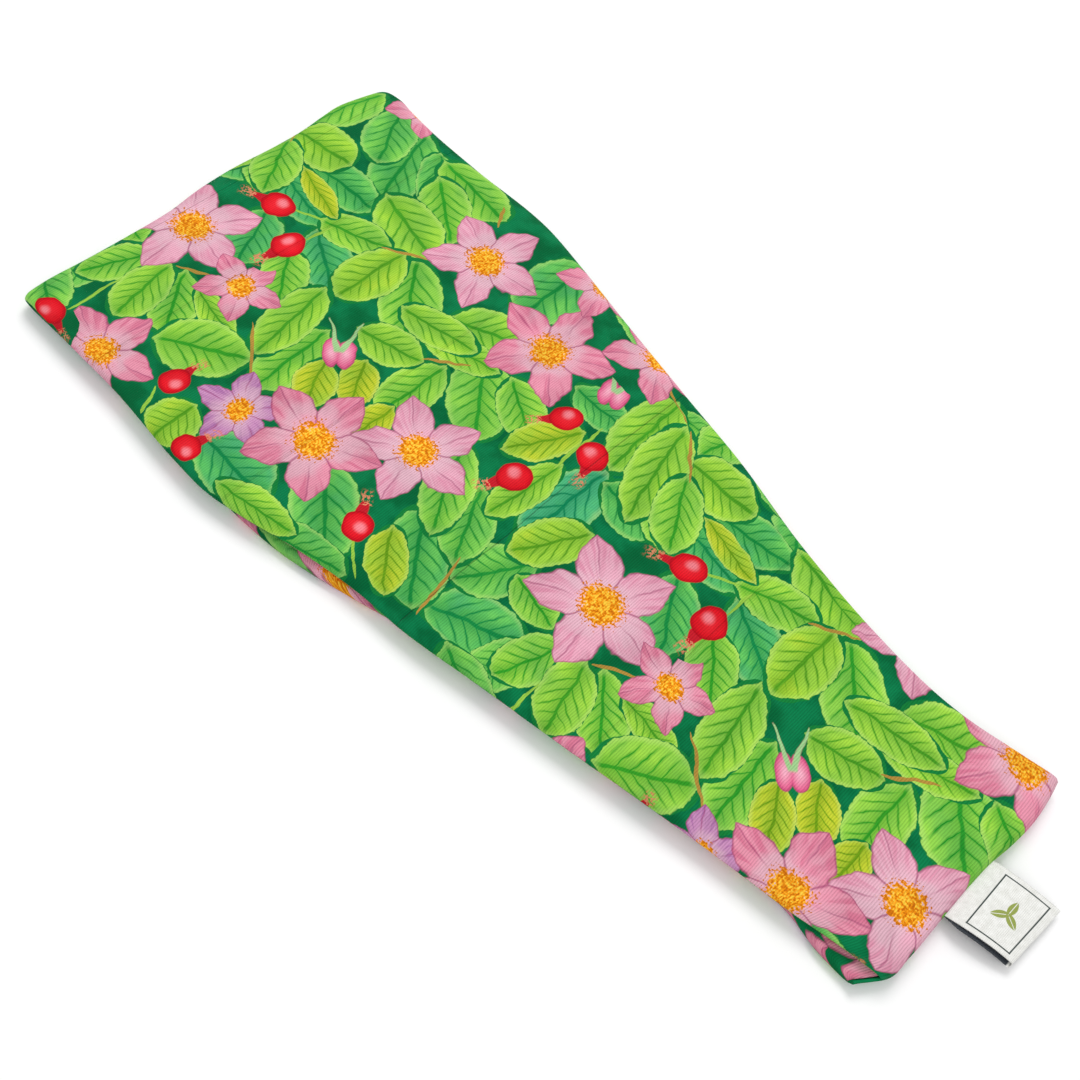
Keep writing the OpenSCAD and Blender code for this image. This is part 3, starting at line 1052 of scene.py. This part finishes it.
def rose_color(g, x, y, kind, wash, grain):
    """Returns the colour of a rose and how much of it covers what is below."""
    radius = g.hypot(x, y)
    angle = g.math("ARCTAN2", y, x)
    spread = math.pi / PETALS
    within = g.math("WRAP", angle, spread, -spread)
    along = g.mul(radius, g.cosine(within))
    off_axis = g.abs(g.mul(radius, g.sine(within)))
    ripples = g.noise(g.join(g.mul(x, 5.0), g.mul(y, 5.0), g.mul(kind, 30)), 1.0, 1)
    ruffle = g.around_zero(ripples, 0.05)
    inside = g.sub(g.add(petal_width(g, along), ruffle), off_axis)
    color = petal_color(g, angle, radius, kind, wash)
    # dark lines: around each petal, between two petals, and down the middle of one
    outline = g.smooth(inside, 0.034, 0.004, 0.75)
    to_next = g.sub(g.mul(along, math.tan(spread)), off_axis)
    seam = g.mul(g.mul(g.smooth(to_next, 0.028, 0.0), g.smooth(radius, 0.2, 0.3)), 0.7)
    fold_line = g.mul(g.smooth(off_axis, 0.02, 0.004), g.smooth(radius, 0.3, 0.6, 0.5))
    color = g.mix_color(g.max(outline, seam, fold_line), color, PETAL_LINE)
    # the stamens: a loose cluster of orange and yellow grains
    cluster = g.add(radius, g.around_zero(grain, 0.24))
    color = g.mix_color(g.smooth(cluster, 0.30, 0.26), color, g.ramp(grain, STAMENS))
    return color, g.smooth(inside, -0.012, 0.012)


def hip_color(g, x, y, grain):
    """A red fruit with a glint, on a neck that ends in wisps. Returns its colour and its cover."""
    x = g.sub(g.mul(x, HIP_LONG), HIP_BACK)
    y = g.mul(y, HIP_WIDE)
    side = g.abs(y)
    fruit = g.root(g.add(g.mul(g.mul(x, x), 0.78), g.mul(y, y)))
    neck_width = g.add(0.22, g.smooth(x, -2.1, -0.9, 0.22))
    neck = g.mul(g.smooth(side, neck_width, g.sub(neck_width, 0.08)), g.smooth(x, -2.0, -1.8))
    neck = g.mul(neck, g.less(x, 0))
    wisps = g.mul(g.smooth(side, 0.5, 0.3), g.greater(grain, 0.53))
    wisps = g.mul(wisps, g.mul(g.smooth(x, -2.9, -2.4), g.less(x, -1.6)))
    body = g.smooth(fruit, 1.03, 0.97)
    glint = g.smooth(g.hypot(g.sub(x, 0.15), g.add(y, 0.25)), 0.55, 0.12)
    red = g.mix_color(g.mul(glint, 0.75), g.ramp(fruit, HIP_RED), HIP_GLINT)
    color = g.mix_color(body, g.mix_color(wisps, HIP_NECK, HIP_WISPS), red)
    return color, g.max(body, neck, g.mul(wisps, 0.85))


def bud_color(g, x, y):
    """A pink bud of two lobes between slanting sepals. Returns its colour and its cover."""
    side = g.abs(y)
    petal = g.hypot(g.mul(g.sub(x, 0.26), 1 / 0.5), g.mul(g.sub(side, 0.19), 1 / 0.27))
    flare = g.mul(g.sub(0.3, x), 0.36)
    width = g.add(0.11, g.mul(x, 0.09))
    sepal = g.smooth(g.abs(g.sub(side, flare)), width, g.mul(width, 0.5))
    sepal = g.mul(sepal, g.smooth(g.abs(g.add(x, 0.33)), 0.62, 0.5))
    return g.mix_color(sepal, g.ramp(petal, BUD_PINK), SEPAL), g.max(g.smooth(petal, 1.02, 0.94), sepal)


def lay_roses(g, frames, color, wash, grain):
    """The lower roses, over the foliage."""
    x, y, kind = g.split(lay(g, frames, round_motifs(LOW_ROSES)))
    rose, cover = rose_color(g, x, y, kind, wash, grain)
    return g.mix_color(g.mul(cover, g.less(x, MOTIF_LIMIT)), color, rose)


def lay_blooms(g, frames, color, wash, grain):
    """The upper roses, the buds and the hips, over everything else."""
    x, y, kind = g.split(lay(g, frames, round_motifs(BUDS + ROSES) + hip_motifs()))
    bloom, cover = rose_color(g, x, y, kind, wash, grain)
    others = ((HIP, hip_color(g, x, y, grain)), (BUD, bud_color(g, x, y)))
    for this_kind, (other, other_cover) in others:
        chosen = g.math("COMPARE", kind, this_kind, KIND_MARGIN)
        bloom = g.mix_color(chosen, bloom, other)
        cover = g.mix(chosen, cover, other_cover)
    return g.mix_color(g.mul(cover, g.less(x, MOTIF_LIMIT)), color, bloom)


def print_color(g, p):
    """The rose print's colour at a point given in millimetres along and across the fabric."""
    drift = g.vector("SUBTRACT", g.noise_vector(p, 0.16, 2), (0.5, 0.5, 0.5))
    p = g.vector("ADD", p, g.scale(drift, 2.2))
    wash = g.noise(p, 0.11, 3)
    grain = g.noise(p, 1.5, 2)
    frames = repeat_frames(g, g.vector("MULTIPLY", p, (1, 1, 0)))
    color = foliage_color(g, lay(g, frames, leaf_motifs() + stem_motifs()), wash, grain)
    for lay_flowers in (lay_roses, lay_blooms):
        frames = [g.after(f, color) for f in frames]
        color = lay_flowers(g, frames, color, wash, grain)
    # watercolour: the paint pools and thins
    return g.scale(color, g.add(0.79, g.mul(wash, 0.28)))


# ---- materials ----

RIDGE_PITCH = 0.59  # millimetres from one ridge of the knit to the next
YARN_PITCH = 0.8  # from one yarn to the next along a ridge, in ridge pitches
BACK_TONES = [(0.0, srgb(92, 148, 104)), (0.5, srgb(112, 164, 116)), (1.0, srgb(134, 178, 128))]
THREAD_TONES = [(0.0, srgb(12, 84, 52)), (1.0, srgb(28, 120, 78))]
RIBBON_TONES = [(0.0, srgb(232, 232, 226)), (1.0, srgb(250, 250, 246))]
FLOOR_TONES = [(0.0, (0.93, 0.93, 0.93, 1)), (1.0, (0.96, 0.96, 0.96, 1))]
BORDER_INK = srgb(46, 62, 58)
SPRIG_INK = srgb(150, 164, 70)
# dark colour of the lower ply past the face's end, where it shows beside the upper one
LOWER_PLY_DARK = srgb(34, 42, 52)

# The label's drawing, in millimetres. The face is the upper ply, which ends at the fold of the tip.
FACE_END = (LABEL_TIP - LABEL_TAIL) / MM
FRAME_MIDDLE = FACE_END - 7.6
FRAME_HALF_LENGTH, FRAME_HALF_WIDTH = 5.4, 7.6
LINE_OUTER, LINE_INNER = 0.22, 0.12  # half the thickness of a line, where it ends and is full
SPRIG = [(0.0, 1.4, 90), (-1.3, -1.2, 215), (1.3, -1.2, -35)]  # (along, across, turn) of each leaf
SPRIG_LEAF = (2.3, 0.95, 1)  # half-length and half-width of a leaf


def knit_height(g, point):
    """Jersey: ridges across the band, each a row of slanted yarns, with a little fuzz."""
    x, y, _ = g.split(point)
    wobble = g.around_zero(g.noise(point, 0.5, 1), 0.16)
    from_groove = g.fold(g.add(g.mul(x, 1 / RIDGE_PITCH), wobble), 0.5)
    lean = g.add(g.mul(y, 1 / (YARN_PITCH * RIDGE_PITCH)), g.mul(from_groove, 1.2))
    yarn = g.sine(g.mul(g.fold(lean, 0.5), math.pi))
    ridge = g.smooth(from_groove, 0.0, 0.32)
    fuzz = g.noise(point, 6.0, 2)
    return g.add(g.mul(ridge, g.add(0.55, g.mul(yarn, 0.25))), g.mul(fuzz, 0.2))


def paint_knit_shade(g, color, height, darkest, gain):
    """Painted shade in the grooves of the knit and painted light on its ridges: darkens the grooves and
    lightens the ridges.
    """
    return g.scale(color, g.add(darkest, g.mul(g.smooth(height, 0.1, 0.9), gain)))


def print_fabric():
    g = Graph("printed_jersey")
    point = g.attribute(PRINT_ATTRIBUTE)
    height = knit_height(g, point)
    # painted shade in the knit's grooves and painted light on its ridges
    color = paint_knit_shade(g, print_color(g, point), height, 0.87, 0.19)
    roughness = g.add(0.76, g.mul(g.noise(point, 0.4, 2), 0.14))
    return g.finish(color, roughness, height, relief=0.11 * MM, sheen=0.02, specular=0.05)


def back_of_fabric():
    """The unprinted side, seen on the seam allowances: the ground colour shows through."""
    g = Graph("back_of_jersey")
    point = g.attribute(PRINT_ATTRIBUTE)
    height = knit_height(g, point)
    # painted shade in the knit's grooves and painted light on its ridges
    color = paint_knit_shade(g, g.ramp(g.noise(point, 0.08, 3), BACK_TONES), height, 0.82, 0.25)
    roughness = g.add(0.78, g.mul(g.noise(point, 0.5, 2), 0.14))
    return g.finish(color, roughness, height, relief=0.14 * MM, sheen=0.1, specular=0.1)


def object_millimetres(g):
    """The point in the object's own coordinates, in millimetres."""
    return g.scale(g.node("ShaderNodeTexCoord", {}, output=3), 1 / MM)


def thread_material():
    g = Graph("spun_thread")
    point = object_millimetres(g)
    x, y, z = g.split(point)
    twist = g.sine(g.mul(g.add(g.add(x, y), g.mul(z, 2.0)), 14.0))
    # painted shade in the twist's grooves and painted light on its crests
    color = g.scale(g.ramp(g.noise(point, 0.6, 2), THREAD_TONES), g.add(0.9, g.mul(twist, 0.1)))
    return g.finish(color, 0.55, twist, relief=0.03 * MM, sheen=0.15, specular=0.25)


def border_ink(g, along, edge):
    """A rectangle of thin lines. edge is the distance from the ribbon's midline."""
    from_middle = g.abs(g.sub(along, FRAME_MIDDLE))
    lines = [g.smooth(g.abs(g.sub(where, half)), LINE_OUTER, LINE_INNER)
             for where, half in ((edge, FRAME_HALF_WIDTH), (from_middle, FRAME_HALF_LENGTH))]
    within = g.mul(g.smooth(edge, FRAME_HALF_WIDTH + 0.3, FRAME_HALF_WIDTH + 0.1),
                   g.smooth(from_middle, FRAME_HALF_LENGTH + 0.3, FRAME_HALF_LENGTH + 0.1))
    return g.mul(g.max(*lines), within)


def sprig_ink(g, point):
    """Three leaves, each with its midrib left white."""
    leaves = []
    for along, side, turn in SPRIG:
        x, y, _ = g.split(g.place(point, (FRAME_MIDDLE + along, side, 0), turn, SPRIG_LEAF))
        side = g.abs(y)
        leaf = g.smooth(g.sub(side, g.sub(1.0, g.mul(x, x))), 0.06, -0.06)
        leaves.append(g.mul(leaf, g.smooth(side, 0.05, 0.12)))
    return g.max(*leaves)


def label_material():
    """Woven ribbon with a border line and a sprig of three leaves. Its attribute counts from the tail."""
    g = Graph("woven_ribbon")
    point = g.attribute(PRINT_ATTRIBUTE)
    along, side, _ = g.split(point)
    ribs = g.sine(g.mul(along, 2 * math.pi / 0.42))
    warp = g.sine(g.mul(side, 2 * math.pi / 0.3))
    weave = g.add(g.mul(ribs, 0.6), g.mul(warp, 0.4))
    color = g.ramp(g.noise(point, 0.7, 2), RIBBON_TONES)
    color = g.mix_color(sprig_ink(g, point), color, SPRIG_INK)
    color = g.mix_color(border_ink(g, along, g.abs(side)), color, BORDER_INK)
    # the lower ply, past the face's end, is coloured dark
    color = g.mix_color(g.smooth(along, FACE_END + 1.2, FACE_END + 1.6), color, LOWER_PLY_DARK)
    # painted shade in the weave's grooves and painted light on its ribs
    color = g.scale(color, g.add(0.94, g.mul(weave, 0.05)))
    return g.finish(color, 0.42, weave, relief=0.05 * MM, sheen=0.1, specular=0.45)


# ---- studio ----

FLOOR_SIZE = 12
WORLD_LIGHT = 0.72
# (name, place, diameter, watts); both point at the origin
LIGHTS = [("key", (-0.35, 0.55, 0.9), 0.6, 5.5), ("fill", (0.7, -0.5, 0.8), 0.8, 2.0)]
CAMERA_PLACE = (0.0882, -0.1424, 0.2575)
CAMERA_RIGHT = Vector((0.7064, 0.6944, 0.1372)).normalized()
CAMERA_FORWARD = Vector((-0.2740, 0.4470, -0.8516)).normalized()
LENS = 41.67  # millimetres, on a sensor of 36


def build_floor():
    """A pale sheet with a very faint texture, on which the band rests."""
    bpy.ops.mesh.primitive_plane_add(size=FLOOR_SIZE, location=(0, 0, 0))
    floor = bpy.context.object
    floor.name = "floor"
    g = Graph("pale_floor")
    tone = g.noise(g.node("ShaderNodeTexCoord", {}, output=3), 30.0, 3)
    color = g.ramp(tone, FLOOR_TONES)
    floor.data.materials.append(g.finish(color, 0.8, tone, relief=0.02 * MM, sheen=0.0, specular=0.1))


def add_light(name, place, diameter, watts):
    light = bpy.data.lights.new(name, "AREA")
    light.shape = "DISK"
    light.size = diameter
    light.energy = watts
    obj = bpy.data.objects.new(name, light)
    obj.location = place
    obj.rotation_euler = (-Vector(place)).to_track_quat("-Z", "Y").to_euler()
    bpy.context.scene.collection.objects.link(obj)


def build_light():
    world = bpy.data.worlds.new("studio")
    world.use_nodes = True
    background = world.node_tree.nodes["Background"]
    background.inputs["Color"].default_value = (1, 1, 1, 1)
    background.inputs["Strength"].default_value = WORLD_LIGHT
    bpy.context.scene.world = world
    for light in LIGHTS:
        add_light(*light)
    view = bpy.context.scene.view_settings
    view.view_transform = "Standard"
    view.look = "None"


def build_camera():
    """Above the near edge, turned so that the band runs from the upper left to the lower right."""
    up = CAMERA_RIGHT.cross(CAMERA_FORWARD)
    lens = bpy.data.cameras.new("photo_view")
    lens.lens = LENS
    lens.sensor_width = 36
    lens.clip_start, lens.clip_end = 0.01, 10
    camera = bpy.data.objects.new("photo_view", lens)
    axes = Matrix((CAMERA_RIGHT, up, -CAMERA_FORWARD)).transposed().to_4x4()
    camera.matrix_world = Matrix.Translation(CAMERA_PLACE) @ axes
    bpy.context.scene.collection.objects.link(camera)
    bpy.context.scene.camera = camera


# ---- build ----

settled = settle()
fabric, fabric_back = print_fabric(), back_of_fabric()
thread = thread_material()
for half in HALVES:
    for layer in LAYERS:
        build_cloth(half, layer, fabric)
    build_edge_thread(half, thread)
    build_allowance(half, fabric_back)
for layer in LAYERS:
    build_cap(layer, fabric)
build_overlock(thread)
build_label(label_material())
build_floor()
build_light()
build_camera()
